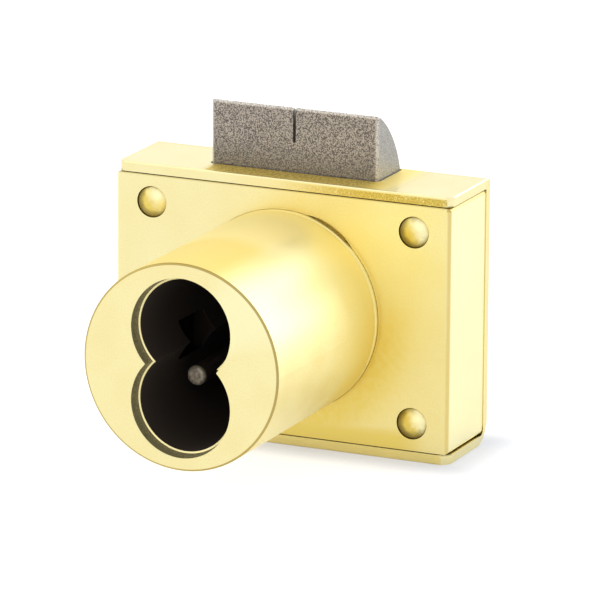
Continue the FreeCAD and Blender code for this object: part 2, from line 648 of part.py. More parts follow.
def bolt_spring(x):
    """One unbroken wire from the foot up to the bolt's shoulder, its ends upright."""
    coil = (SPRING_OUTER_DIAMETER - SPRING_WIRE) / 2
    bottom = FOOT_TOP + SPRING_SEAT_GAP
    top = SHOULDER_BOTTOM - SPRING_SEAT_GAP
    height = top - bottom - 2 * SPRING_LEAD
    up = point(0, 0, 1)
    straight = up * (SPRING_LEAD / 2)
    foot = point(x + coil, SPRING_Y, bottom)
    head = point(x + coil, SPRING_Y, top)
    ways = [(foot + straight, up)]
    for quarter in range(1, QUARTERS * SPRING_TURNS):
        place, way = spring_point(quarter / QUARTERS, height, coil, x)
        ways.append((place + point(0, 0, bottom + SPRING_LEAD), way))
    ways.append((head - straight, up))
    edges = [Part.LineSegment(foot, foot + straight).toShape()]
    for (start, start_way), (end, end_way) in zip(ways, ways[1:]):
        edges.extend(biarc(start, start_way, end, end_way))
    edges.append(Part.LineSegment(head - straight, head).toShape())
    pipe = Part.BRepOffsetAPI.MakePipeShell(Part.Wire(edges))
    pipe.add(Part.Wire([Part.makeCircle(SPRING_WIRE / 2, foot, up)]))
    pipe.build()
    pipe.makeSolid()
    print("spring: least gap to itself", round(least_gap(edges), 2), "mm")
    return pipe.shape()


def throw_hub():
    """Journal with a rim in the pocket, two seats for the prongs and a flatted neck for the lever."""
    profile = (
        (0, RIM_FRONT, 0),
        (RIM_RADIUS, RIM_FRONT, 0),
        (RIM_RADIUS, RIM_REAR, 0),
        (JOURNAL_RADIUS, RIM_REAR, 0),
        (JOURNAL_RADIUS, CAM_FRONT, 0),
        (THROW_NECK_RADIUS, CAM_FRONT, 0),
        (THROW_NECK_RADIUS, CAM_REAR, 0),
        (CLIP_GROOVE_RADIUS, CAM_REAR, 0),
        (CLIP_GROOVE_RADIUS, GROOVE_REAR, 0),
        (THROW_NECK_RADIUS, GROOVE_REAR, 0),
        (THROW_NECK_RADIUS, HUB_REAR, 0),
        (0, HUB_REAR, 0),
    )
    hub = turned_y(profile, 0, LOBE_LOWER_Z)
    reach = THROW_NECK_RADIUS + THROUGH
    for low, high in ((-reach, -THROW_FLAT), (THROW_FLAT, reach)):
        hub = hub.cut(block(low, high, CAM_FRONT, HUB_REAR + THROUGH,
                            LOBE_LOWER_Z - reach, LOBE_LOWER_Z + reach))
    for _, x, z in prong_places():
        hub = hub.cut(rod_y(PRONG_DIAMETER / 2 + THROW_FIT_GAP, RIM_FRONT - THROUGH,
                            RIM_FRONT + PRONG_SEAT, x, z))
    return hub


def prong_places():
    """Both prongs with their side's name, x and z."""
    places = []
    for turn, name in ((0, "left"), (pi, "right")):
        angle = radians(PRONG_ANGLE) + turn
        places.append((name, PRONG_RADIUS * cos(angle), LOBE_LOWER_Z + PRONG_RADIUS * sin(angle)))
    return places


def throw_prong(x, z):
    radius = PRONG_DIAMETER / 2
    tip = FACE_Y + PRONG_FROM_FACE
    profile = (
        (0, tip, 0),
        (radius, tip, PRONG_TIP),
        (radius, RIM_FRONT + PRONG_SEAT, 0),
        (0, RIM_FRONT + PRONG_SEAT, 0),
    )
    return turned_y(profile, x, z)


def throw_cam():
    """Lever with a round hub and a round end, joined by common tangents."""
    big = JOURNAL_RADIUS + CAM_HUB_STEP
    small = DRIVE_PIN_SEAT_RADIUS + CAM_ARM_WALL
    hub = rod_y(big, CAM_FRONT, CAM_REAR, 0, LOBE_LOWER_Z)
    end = rod_y(small, CAM_FRONT, CAM_REAR, CAM_PIN_X, CAM_PIN_Z)
    aim = radians(CAM_START_ANGLE)
    swing = pi / 2 - asin((big - small) / CAM_PIN_RADIUS)
    corners = []
    for x, z, radius, side in ((0, LOBE_LOWER_Z, big, 1), (CAM_PIN_X, CAM_PIN_Z, small, 1),
                               (CAM_PIN_X, CAM_PIN_Z, small, -1), (0, LOBE_LOWER_Z, big, -1)):
        angle = aim + side * swing
        corners.append((x + radius * cos(angle), z + radius * sin(angle), 0))
    cam = hub.fuse(end).fuse(prism_y(corners, CAM_FRONT, CAM_REAR)).removeSplitter()
    neck = rod_y(THROW_NECK_RADIUS + THROW_FIT_GAP, CAM_FRONT - THROUGH, CAM_REAR + THROUGH,
                 0, LOBE_LOWER_Z)
    flat = THROW_FLAT + THROW_FIT_GAP
    neck = neck.common(block(-flat, flat, CAM_FRONT - THROUGH, CAM_REAR + THROUGH,
                             LOBE_LOWER_Z - big, LOBE_LOWER_Z + big))
    seat = rod_y(DRIVE_PIN_SEAT_RADIUS + THROW_FIT_GAP, CAM_FRONT - THROUGH, CAM_REAR + THROUGH,
                 CAM_PIN_X, CAM_PIN_Z)
    return cam.cut(neck).cut(seat)


def drive_pin():
    """Stepped pin, thinner where the lever holds it."""
    rear = BACK_Y - DRIVE_PIN_END_GAP
    profile = (
        (0, CAM_FRONT, 0),
        (DRIVE_PIN_SEAT_RADIUS, CAM_FRONT, 0),
        (DRIVE_PIN_SEAT_RADIUS, CAM_REAR, 0),
        (DRIVE_PIN_RADIUS, CAM_REAR, 0),
        (DRIVE_PIN_RADIUS, rear, 0),
        (0, rear, 0),
    )
    return turned_y(profile, CAM_PIN_X, CAM_PIN_Z)


def hub_clip():
    """Open retaining ring in the groove of the hub."""
    ring = rod_y(CLIP_RADIUS, CLIP_FRONT, CLIP_REAR, 0, LOBE_LOWER_Z)
    ring = ring.cut(rod_y(CLIP_GROOVE_RADIUS + THROW_FIT_GAP, CLIP_FRONT - THROUGH,
                          CLIP_REAR + THROUGH, 0, LOBE_LOWER_Z))
    return ring.cut(block(-CLIP_MOUTH / 2, CLIP_MOUTH / 2, CLIP_FRONT - THROUGH, CLIP_REAR + THROUGH,
                          LOBE_LOWER_Z - CLIP_RADIUS - THROUGH, LOBE_LOWER_Z))


def pieces():
    """Every node of the lock by name."""
    made = {
        "front_case": front_case(),
        "back_cover": back_cover(),
        "barrel_housing": barrel_housing(),
        "mechanism_plate": mechanism_plate(),
        "latch_bolt": latch_bolt(),
        "throw_hub": throw_hub(),
        "throw_cam": throw_cam(),
        "drive_pin": drive_pin(),
        "hub_clip": hub_clip(),
    }
    for name, x, z in post_places():
        made["post_" + name] = post(x, z)
        made["cover_screw_" + name] = cover_screw(x, z)
    for name, x in rod_places():
        made["guide_rod_" + name] = guide_rod(x)
        made["bolt_spring_" + name] = bolt_spring(x)
    for name, x, z in prong_places():
        made["throw_prong_" + name] = throw_prong(x, z)
    return made


os.makedirs("parts", exist_ok=True)
for node, shape in pieces().items():
    good = shape.isValid() and len(shape.Solids) == 1 and shape.Volume > 0
    box = shape.BoundBox
    print(node, "ok" if good else "BAD", len(shape.Solids), len(shape.Faces), round(shape.Volume, 1),
          [round(v, 2) for v in (box.XMin, box.XMax, box.YMin, box.YMax, box.ZMin, box.ZMax)])
    shape.exportStep("parts/" + node + ".step")
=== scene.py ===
# Looks of the drawer lock: camera, light, floor and the finish of every piece.
# Metres, in the frame of the solids: the barrel's axis is along Y, and the front plate's face is at
# y = 0.
import json
from math import cos, radians, sin

import bpy
from mathutils import Matrix, Vector

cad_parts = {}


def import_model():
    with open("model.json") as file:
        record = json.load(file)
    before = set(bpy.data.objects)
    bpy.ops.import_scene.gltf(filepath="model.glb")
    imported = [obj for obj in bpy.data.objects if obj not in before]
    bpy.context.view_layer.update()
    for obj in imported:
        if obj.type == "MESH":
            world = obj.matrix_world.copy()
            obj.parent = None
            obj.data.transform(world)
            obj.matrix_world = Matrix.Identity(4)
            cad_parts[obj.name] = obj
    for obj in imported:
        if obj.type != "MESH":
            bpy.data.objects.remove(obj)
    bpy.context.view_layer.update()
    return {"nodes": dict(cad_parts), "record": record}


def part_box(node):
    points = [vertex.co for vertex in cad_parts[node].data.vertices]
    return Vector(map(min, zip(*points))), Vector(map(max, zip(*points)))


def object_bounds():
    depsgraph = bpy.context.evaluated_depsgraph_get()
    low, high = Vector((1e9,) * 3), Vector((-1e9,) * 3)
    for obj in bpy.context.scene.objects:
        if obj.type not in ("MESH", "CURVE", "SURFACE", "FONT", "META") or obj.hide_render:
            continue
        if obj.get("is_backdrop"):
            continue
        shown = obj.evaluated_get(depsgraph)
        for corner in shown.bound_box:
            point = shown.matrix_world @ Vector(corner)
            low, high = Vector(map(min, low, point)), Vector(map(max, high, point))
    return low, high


MM = 0.001

# Camera, fitted to the photograph's outline of the case, barrel and bolt
CAMERA_AZIMUTH = 24.26959
CAMERA_ELEVATION = 14.83144
CAMERA_ROLL = 0.42138
CAMERA_DISTANCE = 1.009394
CAMERA_RIGHT = 0.00263117
CAMERA_UP = 0.0016125
CAMERA_LENS = 397.2214
SENSOR_WIDTH = 36.0

# Surroundings: what diffuse surfaces get of the white world, the floor's own light, and how much more
# of it the camera sees
AMBIENT = 0.6
FLOOR_SIZE = 6.0
FLOOR_ALBEDO = 0.55
FLOOR_ROUGH = 0.9
FLOOR_GLOW = 0.56
FLOOR_SEEN = 0.22

# The floor's own light is dimmer and bluer round the case's foot, a painted contact shadow: where that
# starts on the left, how far it reaches past the case, how strong it is and its tint
FOOT_SHADE_START = -2 * MM
FOOT_SHADE_REACH = 9 * MM
FOOT_SHADE = 0.5
FOOT_SHADE_BLUE = (0.95, 1.0, 1.17)

# Softboxes: azimuth and elevation in degrees, distance, width, height in metres, watts
SOFTBOXES = {
    "back_right": ((152, 14), 0.9, 0.8, 0.6, 3.0),
    "back_high": ((188, 44), 1.0, 0.9, 0.4, 0.9),
    "front_high": ((14, 22), 1.2, 0.5, 0.4, 0.6),
    "left_high": ((-70, 40), 1.0, 0.7, 0.5, 1.2),
}

# Sizes of the solids, which their finishes follow
POCKET_CENTRES = 11.3 * MM
POCKET_DROP = 0.15 * MM
POCKET_MOUTH_RADIUS = 8.1 * MM
POCKET_MOUTH_DEPTH = 2.0 * MM
POCKET_BODY_RADIUS = 7.55 * MM
NOTCH_HALF_HEIGHT = 4.0 * MM
NOTCH_HALF_WIDTH = 9.2 * MM
BARREL_RADIUS = 15.875 * MM
BARREL_EDGE = 0.3 * MM
PRONG_FRONT = -21.8 * MM
PLATE_BEND = 0.6 * MM
CASE_CORNER = 0.6 * MM
COVER_SHEET = 1.55 * MM
BOLT_FRONT = 4.78 * MM
BOLT_LEFT = -14.35 * MM
BOLT_RIGHT = 13.47 * MM
DOME_RADIUS = 2.4 * MM

# How far behind a surface its own finish still counts as on it
SKIN = 0.1 * MM

# Widths of the blotches in each finish
PLATING_GRAIN = 0.28 * MM
CASE_CLOUD = 8 * MM
CASE_MOTTLE = 1.1 * MM
COVER_CLOUD = 9 * MM
COVER_GRAIN = 0.25 * MM
COVER_BLOT = 1.3 * MM
COVER_STREAK = 0.5 * MM
COVER_FLECK = 0.45 * MM
BARREL_CLOUD = 7 * MM
CAST_GRIT = 0.2 * MM
SMALL_CLOUD = 0.9 * MM
SCREW_RINGS = 0.12 * MM
PRONG_GRAIN = 0.6 * MM
STEEL_CLOUD = 4 * MM
SHEET_GRAIN = 0.25 * MM
WIRE_GRAIN = 0.2 * MM
SINTER_GRAIN = 0.21 * MM
SINTER_FINE = 0.11 * MM

# Pits: spacing, radius and the share of places that hold one
PLATING_PITS = (2.1 * MM, 0.07 * MM, 0.16)
DOME_PITS = (1.1 * MM, 0.16 * MM, 0.3)

# Depths of the reliefs
CASE_RELIEF = 0.004 * MM
COVER_RELIEF = 0.04 * MM
BARREL_RELIEF = 0.004 * MM
DOME_RELIEF = 0.03 * MM
SCREW_RELIEF = 0.01 * MM
PRONG_RELIEF = 0.03 * MM
STEEL_RELIEF = 0.008 * MM
SINTER_RELIEF = 0.05 * MM

# Front plate: how far from the barrel's axis its painted shade lasts, the side where it lies, and the
# band of painted shade along the foot
BARREL_SHADE_NEAR = 17 * MM
BARREL_SHADE_FAR = 24 * MM
BARREL_SHADE_SIDE = (0.45, -0.9)
FOOT_BAND = 1.5 * MM
FOOT_FADE = 4.5 * MM
FOOT_END = 9 * MM

# Top flange: how far inside the bolt's left end and past its right end the painted reflection of the
# bolt fades, and how far past the right end the painted darker reflection of its side stays full and
# ends
BOLT_REFLECTION_LEFT_FADE = 1.5 * MM
BOLT_REFLECTION_RIGHT_FADE = 3 * MM
BESIDE_FULL = 1.5 * MM
BESIDE_END = 7 * MM

# Bolt: how far below its top the painted shade on its lower part starts and is full
BOLT_LOW_FROM = 4 * MM
BOLT_LOW_FULL = 10 * MM

# Barrel: the side its painted highlight stripe faces, places along its length for the painted
# highlight and the painted shade, and the slope of the pocket's lip
SHINE_SIDE = (0.73, 0.68)
SHINE_FROM = -5 * MM
SHINE_FULL = -15 * MM
BROW_FROM = -17 * MM
BROW_FULL = -23 * MM
BASE_FROM = -13 * MM
BASE_FULL = -1 * MM
LEDGE_SLOPE = 0.6

# Domes: the side that painted shade darkens, by how much more than the rest, and how far behind the
# plate's face the posts still count as domes
DOME_DARK_SIDE = (-0.87, -0.5)
DOME_LEAN = 0.4
DOME_END = 0.5 * MM

# Prongs: length of the grey tips
TIP_LENGTH = 0.85 * MM

# Colours, as linear light
BRASS_PALE = (0.97, 0.86, 0.45)
BRASS_CLEAN = (0.98, 0.90, 0.51)
BRASS_WHITE = (1.0, 0.96, 0.60)
BRASS_BEND = (0.72, 0.53, 0.15)
BRASS_DEEP = (0.85, 0.665, 0.16)
BRASS_WARM = (0.92, 0.78, 0.33)
BRASS_TARNISH = (0.52, 0.38, 0.09)
BRASS_DARK = (0.26, 0.18, 0.05)
POCKET_BLACK = (0.044, 0.032, 0.024)
NOTCH_SHADE_BLACK = (0.032, 0.024, 0.018)
DOME_OLIVE = (0.24, 0.19, 0.06)
CAST_OLIVE = (0.20, 0.175, 0.085)
CAST_OLIVE_LIGHT = (0.42, 0.37, 0.20)
SINTER_LOW = (0.17, 0.165, 0.16)
SINTER_DARK = (0.135, 0.118, 0.108)
SINTER_LIGHT = (0.55, 0.49, 0.44)
SINTER_EDGE = (0.90, 0.85, 0.79)
SINTER_SIDE_DARK = (0.25, 0.245, 0.235)
SINTER_SIDE_LIGHT = (0.50, 0.49, 0.465)
SINTER_METALLIC = 0.65
PRONG_GREY = (0.80, 0.68, 0.51)
PRONG_DARK = (0.34, 0.29, 0.22)
STEEL_GREY = (0.46, 0.43, 0.40)
STEEL_DARK = (0.13, 0.12, 0.11)
WIRE_GREY = (0.55, 0.55, 0.56)
WHITE = (1.0, 1.0, 1.0)


class Graph:
    """One node material. Its methods take and return sockets or plain numbers."""

    def __init__(self, name):
        self.material = bpy.data.materials.new(name)
        self.material.use_nodes = True
        self.tree = self.material.node_tree
        self.shader = self.tree.nodes["Principled BSDF"]
        self.place = self.add("ShaderNodeTexCoord").outputs["Object"]

    def add(self, kind, **settings):
        node = self.tree.nodes.new(kind)
        for name, value in settings.items():
            setattr(node, name, value)
        return node

    def feed(self, socket, value):
        if isinstance(value, bpy.types.NodeSocket):
            self.tree.links.new(value, socket)
        elif isinstance(value, tuple) and len(socket.default_value) == 4:
            socket.default_value = value + (1.0,)
        else:
            socket.default_value = value

    def math(self, operation, *values):
        node = self.add("ShaderNodeMath", operation=operation)
        for socket, value in zip(node.inputs, values):
            self.feed(socket, value)
        return node.outputs[0]

    def fold(self, operation, first, *others):
        """One value from many, with the operation used from left to right."""
        for other in others:
            first = self.math(operation, first, other)
        return first

    def times(self, *values):
        return self.fold("MULTIPLY", *values)

    def plus(self, *values):
        return self.fold("ADD", *values)

    def least(self, *values):
        return self.fold("MINIMUM", *values)

    def most(self, *values):
        return self.fold("MAXIMUM", *values)

    def minus(self, first, second):
        return self.math("SUBTRACT", first, second)

    def over(self, first, second):
        return self.math("DIVIDE", first, second)

    def above(self, value, limit):
        return self.math("GREATER_THAN", value, limit)

    def below(self, value, limit):
        return self.math("LESS_THAN", value, limit)

    def distance(self, value, place):
        return self.math("ABSOLUTE", self.minus(value, place))

    def length(self, first, second):
        """Length of a vector with these two parts."""
        return self.math("SQRT", self.plus(self.times(first, first), self.times(second, second)))

    def along(self, parts, side):
        """How far a vector of two parts goes towards a side."""
        return self.plus(*(self.times(part, share) for part, share in zip(parts, side)))

    def separate(self, vector):
        node = self.add("ShaderNodeSeparateXYZ")
        self.feed(node.inputs[0], vector)
        return node.outputs

    def ramp(self, value, start, end, low=0.0, high=1.0):
        """low where value is at start, high where it is at end, and smooth between."""
        node = self.add("ShaderNodeMapRange", interpolation_type="SMOOTHSTEP")
        self.feed(node.inputs["Value"], value)
        node.inputs["From Min"].default_value = start
        node.inputs["From Max"].default_value = end
        node.inputs["To Min"].default_value = low
        node.inputs["To Max"].default_value = high
        return node.outputs["Result"]

    def spread(self, noise, low, high):
        """Noise stretched so that its usual darkest and lightest values reach low and high."""
        return self.ramp(noise, 0.2, 0.8, low, high)

    def near(self, value, place, reach):
        """1 where value is at place, falling to 0 a reach away."""
        return self.ramp(self.distance(value, place), reach, 0.0)

    def noise(self, size, detail=2.0, rough=0.5, factors=(1, 1, 1), twist=0.0):
        """Smooth noise from 0 to 1 with blotches about as wide as size, over the factors."""
        stretch = self.add("ShaderNodeMapping")
        self.feed(stretch.inputs["Vector"], self.place)
        stretch.inputs["Scale"].default_value = factors
        node = self.add("ShaderNodeTexNoise")
        self.feed(node.inputs["Vector"], stretch.outputs[0])
        node.inputs["Scale"].default_value = 1.0 / size
        node.inputs["Detail"].default_value = detail
        node.inputs["Roughness"].default_value = rough
        node.inputs["Distortion"].default_value = twist
        return node.outputs["Fac"]

    def dots(self, spacing, radius, share):
        """1 inside sparse round dots: cells as wide as spacing, of which a share holds a dot."""
        node = self.add("ShaderNodeTexVoronoi", feature="F1")
        self.feed(node.inputs["Vector"], self.place)
        node.inputs["Scale"].default_value = 1.0 / spacing
        chosen = self.below(self.separate(node.outputs["Color"])[0], share)
        inside = self.ramp(node.outputs["Distance"], radius / spacing, 0.6 * radius / spacing)
        return self.times(chosen, inside)

    def blend(self, amount, first, second):
        node = self.add("ShaderNodeMix", data_type="RGBA")
        self.feed(node.inputs["Factor"], amount)
        first_socket, second_socket = (s for s in node.inputs if s.type == "RGBA")
        self.feed(first_socket, first)
        self.feed(second_socket, second)
        return next(s for s in node.outputs if s.type == "RGBA")

    def coats(self, colour, *layers):
        """A colour under layers of others, each given as how well it covers and its colour."""
        for cover, other in layers:
            colour = self.blend(cover, colour, other)
        return colour

    def bump(self, height, depth):
        """Relief as deep as depth where height goes from 0 to 1."""
        node = self.add("ShaderNodeBump")
        self.feed(node.inputs["Height"], height)
        node.inputs["Distance"].default_value = depth
        self.tree.links.new(node.outputs["Normal"], self.shader.inputs["Normal"])

    def finish(self, colour, rough, metallic=1.0):
        self.feed(self.shader.inputs["Base Color"], colour)
        self.feed(self.shader.inputs["Roughness"], rough)
        self.feed(self.shader.inputs["Metallic"], metallic)
        return self.material


def satin(g, cloud_size):
    """Clouds, colour and relief height of satin brass plating with fine grain and a few pits."""
    cloud = g.noise(cloud_size)
    grain = g.noise(PLATING_GRAIN, rough=0.6)
    pits = g.dots(*PLATING_PITS)
    colour = g.coats(g.blend(g.ramp(cloud, 0.25, 0.75), BRASS_PALE, BRASS_CLEAN),
                     (g.ramp(grain, 0.35, 0.75, 0.0, 0.22), BRASS_DEEP),
                     (g.times(pits, 0.6), BRASS_DARK))
    return cloud, colour, g.minus(g.times(grain, 0.4), pits)


def case_brass():
    """Satin brass, with painted shade to the lower right of the barrel and along the foot, painted
    light that whitens the side walls, and painted shade along the bend, the seams and the upper
    corner."""
    g = Graph("case_brass")
    x, y, z = g.separate(g.place)
    low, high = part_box("front_case")
    cloud, colour, height = satin(g, CASE_CLOUD)
    mottle = g.noise(CASE_MOTTLE, detail=3.0, rough=0.6)
    on_face = g.below(y, SKIN)
    radius = g.length(x, z)
    # Painted shade: a deeper tone on the plate to the lower right of the barrel
    lean = g.over(g.along((x, z), BARREL_SHADE_SIDE), radius)
    shade_beside = g.times(g.ramp(lean, -0.1, 0.85), g.ramp(radius, BARREL_SHADE_FAR, BARREL_SHADE_NEAR, 0.35, 1.0),
                     g.ramp(mottle, 0.3, 0.7, 0.78, 1.0), on_face)
    # Painted shade: a deeper band along the foot, towards the right
    foot = g.times(g.ramp(z, low.z + FOOT_FADE, low.z + FOOT_BAND, 0.0, 0.92),
                   g.ramp(x, high.x, high.x - FOOT_END), on_face)
    # Painted shade along the rounded bend between plate and side wall
    bend = g.times(g.near(g.plus(g.minus(high.x, x), y), 0.58 * PLATE_BEND, 0.4 * PLATE_BEND),
                   g.below(y, PLATE_BEND))
    # Painted shade along the top and back edges, where the seams' gaps are
    seam_shade = g.ramp(g.least(g.minus(high.z, z), g.minus(high.y, y)), 0.24 * MM, 0.06 * MM)
    # Painted shade on the rounded upper right corner, which is also rougher
    corner = g.times(g.ramp(z, high.z - 1.1 * CASE_CORNER, high.z - 0.8 * CASE_CORNER),
                     g.ramp(x, high.x - 1.1 * CASE_CORNER, high.x - 0.9 * CASE_CORNER))
    colour = g.coats(colour,
                     (g.most(shade_beside, foot), BRASS_DEEP),
                     # Painted light that whitens the side walls
                     (g.times(g.above(y, PLATE_BEND), 0.6), BRASS_WHITE),
                     (g.times(bend, 0.7), BRASS_BEND),
                     (g.times(seam_shade, 0.6), BRASS_TARNISH),
                     (g.times(corner, 0.6), BRASS_TARNISH))
    g.bump(height, CASE_RELIEF)
    return g.finish(colour, g.most(g.spread(cloud, 0.32, 0.40), g.times(corner, 0.5)))


def cover_brass():
    """Brass sheet: torn front edge on the upper right, streaks under the case, a painted and flecked
    reflection of the bolt in front of it, a painted darker reflection to the right of it, painted
    shade in the seams inside, and painted shade over the back."""
    g = Graph("cover_brass")
    x, y, z = g.separate(g.place)
    low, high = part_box("back_cover")
    width = high.x - low.x
    cloud = g.noise(COVER_CLOUD)
    grain = g.noise(COVER_GRAIN, detail=3.0, rough=0.6)
    wear_and_edge_highlight = g.times(g.plus(grain, g.noise(COVER_BLOT)), 0.5)
    streak = g.noise(COVER_STREAK, factors=(0.15, 1, 1.6))
    fleck = g.noise(COVER_FLECK, detail=3.0, rough=0.65)
    front = g.ramp(y, low.y + 0.25 * MM, low.y + 0.10 * MM)
    torn = g.times(front, g.ramp(x, low.x + 0.45 * width, low.x + 0.8 * width),
                   g.ramp(z, 0.0, high.z), g.ramp(z, high.z - 0.35 * MM, high.z - 0.5 * MM),
                   g.ramp(wear_and_edge_highlight, 0.30, 0.50))
    under = g.times(front, g.below(z, 0.0))
    on_top = g.times(g.ramp(z, high.z - 0.3 * MM, high.z - 0.1 * MM), g.above(y, 0.3 * MM))
    # Painted reflection of the bolt on the flange in front of it, flecked
    bolt_reflection = g.times(on_top, g.ramp(y, BOLT_FRONT + 0.1 * MM, BOLT_FRONT - 0.3 * MM),
                     g.ramp(x, BOLT_LEFT, BOLT_LEFT + BOLT_REFLECTION_LEFT_FADE),
                     g.ramp(x, BOLT_RIGHT + BOLT_REFLECTION_RIGHT_FADE, BOLT_RIGHT))
    # Painted darker reflection of the bolt's side on the flange to its right
    shade_beside = g.times(on_top, g.ramp(x, BOLT_RIGHT - 1.0 * MM, BOLT_RIGHT + 0.2 * MM),
                     g.ramp(x, BOLT_RIGHT + BESIDE_END, BOLT_RIGHT + BESIDE_FULL))
    # Painted shade on the flanges' inner faces along the seams
    seams = g.most(g.near(z, high.z - COVER_SHEET, 0.3 * MM),
                   g.near(z, low.z + COVER_SHEET, 0.3 * MM))
    inside = g.times(seams, g.above(y, 0.2 * MM), g.below(y, high.y - COVER_SHEET),
                     g.below(x, high.x - SKIN), g.above(x, low.x + SKIN))
    colour = g.coats(g.blend(g.ramp(cloud, 0.3, 0.7), BRASS_CLEAN, BRASS_PALE),
                     # Painted shade that deepens the back of the cover
                     (g.ramp(y, high.y - 3 * MM, high.y, 0.0, 0.7), BRASS_WARM),
                     (torn, BRASS_DEEP),
                     (g.times(torn, g.ramp(grain, 0.40, 0.60, 0.2, 0.85)), BRASS_TARNISH),
                     (g.times(under, 0.6), BRASS_DEEP),
                     (g.times(under, g.ramp(streak, 0.38, 0.60), 0.08), BRASS_TARNISH),
                     (g.times(bolt_reflection, 0.9), BRASS_DEEP),
                     (g.times(bolt_reflection, g.ramp(fleck, 0.46, 0.58), 0.75), BRASS_TARNISH),
                     (g.times(shade_beside, 0.6), BRASS_DEEP),
                     (g.times(inside, 0.7), BRASS_DARK),
                     (g.ramp(grain, 0.35, 0.8, 0.0, 0.12), BRASS_DEEP))
    g.bump(g.times(grain, g.most(front, 0.1)), COVER_RELIEF)
    rough = g.most(g.ramp(front, 0.0, 1.0, 0.26, 0.36), g.times(g.most(bolt_reflection, shade_beside), 0.6))
    return g.finish(colour, rough)


def pocket_parts(g, face):
    """Distance from the nearer lobe's axis, and masks of the pocket's cast step, the bright lip on
    the step's inner edge, the dark inside and the notch in its wall, which gets painted deeper shade."""
    x, y, z = g.separate(g.place)
    ledge = face + POCKET_MOUTH_DEPTH
    reach = g.least(*(g.length(x, g.minus(z, side * POCKET_CENTRES / 2 - POCKET_DROP))
                      for side in (1, -1)))
    in_mouth = g.below(reach, POCKET_MOUTH_RADIUS + 0.05 * MM)
    wall = g.times(in_mouth,
                   g.ramp(reach, POCKET_MOUTH_RADIUS - 0.10 * MM, POCKET_MOUTH_RADIUS - 0.03 * MM),
                   g.ramp(y, face + 0.02 * MM, face + 0.10 * MM),
                   g.ramp(y, ledge - 0.01 * MM, ledge - 0.06 * MM))
    on_ledge = g.times(in_mouth, g.near(y, ledge, 0.05 * MM))
    lip = g.times(on_ledge,
                  g.ramp(reach, POCKET_BODY_RADIUS + 0.36 * MM, POCKET_BODY_RADIUS + 0.28 * MM))
    cast = g.least(g.plus(wall, g.minus(on_ledge, lip)), 1.0)
    lobes = g.ramp(reach, POCKET_BODY_RADIUS + 0.25 * MM, POCKET_BODY_RADIUS + 0.10 * MM)
    waist = g.times(g.below(g.distance(z, 0.0), NOTCH_HALF_HEIGHT),
                    g.below(g.distance(x, 0.0), NOTCH_HALF_WIDTH))
    dark = g.times(g.ramp(y, ledge + 0.02 * MM, ledge + 0.10 * MM), g.most(lobes, waist))
    notch = g.times(dark, g.above(reach, POCKET_BODY_RADIUS + 0.05 * MM))
    return reach, cast, lip, dark, notch


def barrel_brass():
    """Satin brass: a painted highlight along a stripe on the upper right, painted shade in warmer
    tones at the base and on top, painted shade on the rim, and the pocket's cast and dark parts."""
    g = Graph("barrel_brass")
    x, y, z = g.separate(g.place)
    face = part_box("barrel_housing")[0].y
    radius = g.length(x, z)
    cloud, colour, height = satin(g, BARREL_CLOUD)
    grit = g.noise(CAST_GRIT, detail=3.0, rough=0.7)
    olive = g.blend(g.ramp(grit, 0.35, 0.65), CAST_OLIVE, CAST_OLIVE_LIGHT)
    reach, cast, lip, dark, notch = pocket_parts(g, face)
    edge = BARREL_RADIUS - BARREL_EDGE
    # Painted shade on the rounded rim of the face, darker towards the upper right
    rim = g.times(g.ramp(radius, edge - 0.06 * MM, edge + 0.04 * MM),
                  g.ramp(y, face + BARREL_EDGE + 0.06 * MM, face + BARREL_EDGE - 0.04 * MM))
    facing = g.over(g.along((x, z), SHINE_SIDE), radius)
    rim_shade = g.blend(g.ramp(facing, 0.1, 0.7, 0.0, 0.4), BRASS_TARNISH, BRASS_DARK)
    # Painted highlight along the stripe that faces the upper right
    shine = g.times(g.ramp(facing, 0.86, 0.99), g.ramp(y, SHINE_FROM, SHINE_FULL), 0.7)
    # Painted shade in warmer and deeper tones near the base and over the top, which is also rougher
    base = g.times(g.ramp(y, BASE_FROM, BASE_FULL), g.spread(cloud, 0.75, 0.95))
    upper = g.times(g.above(z, 0.0), g.above(radius, BARREL_RADIUS - SKIN))
    turn = g.over(x, radius)
    crown = g.times(upper, g.ramp(turn, 0.72, 0.25), 0.7)
    brow = g.times(upper, g.ramp(turn, 0.6, 0.3), g.ramp(y, BROW_FROM, BROW_FULL), 0.5)
    colour = g.coats(colour,
                     (shine, BRASS_WHITE),
                     (g.most(base, crown), BRASS_WARM),
                     (brow, BRASS_DEEP),
                     (g.times(rim, 0.85), rim_shade),
                     (cast, olive),
                     (dark, POCKET_BLACK),
                     # Painted deeper shade in the notch
                     (notch, NOTCH_SHADE_BLACK))
    slope = g.times(g.minus(reach, POCKET_BODY_RADIUS), lip, LEDGE_SLOPE / BARREL_RELIEF)
    g.bump(g.plus(height, slope, g.times(grit, cast, 4.0)), BARREL_RELIEF)
    rough = g.most(g.spread(cloud, 0.46, 0.54), g.times(g.most(cast, dark), 0.65), crown)
    return g.finish(colour, rough, g.minus(1.0, g.most(g.minus(dark, notch), g.times(cast, 0.6))))


def post_centres(axis):
    """Places of the left and right posts' axes, or of the lower and upper ones'."""
    ends = []
    for name in ("post_lower_left", "post_upper_right"):
        low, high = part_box(name)
        ends.append((low[axis] + high[axis]) / 2)
    return ends


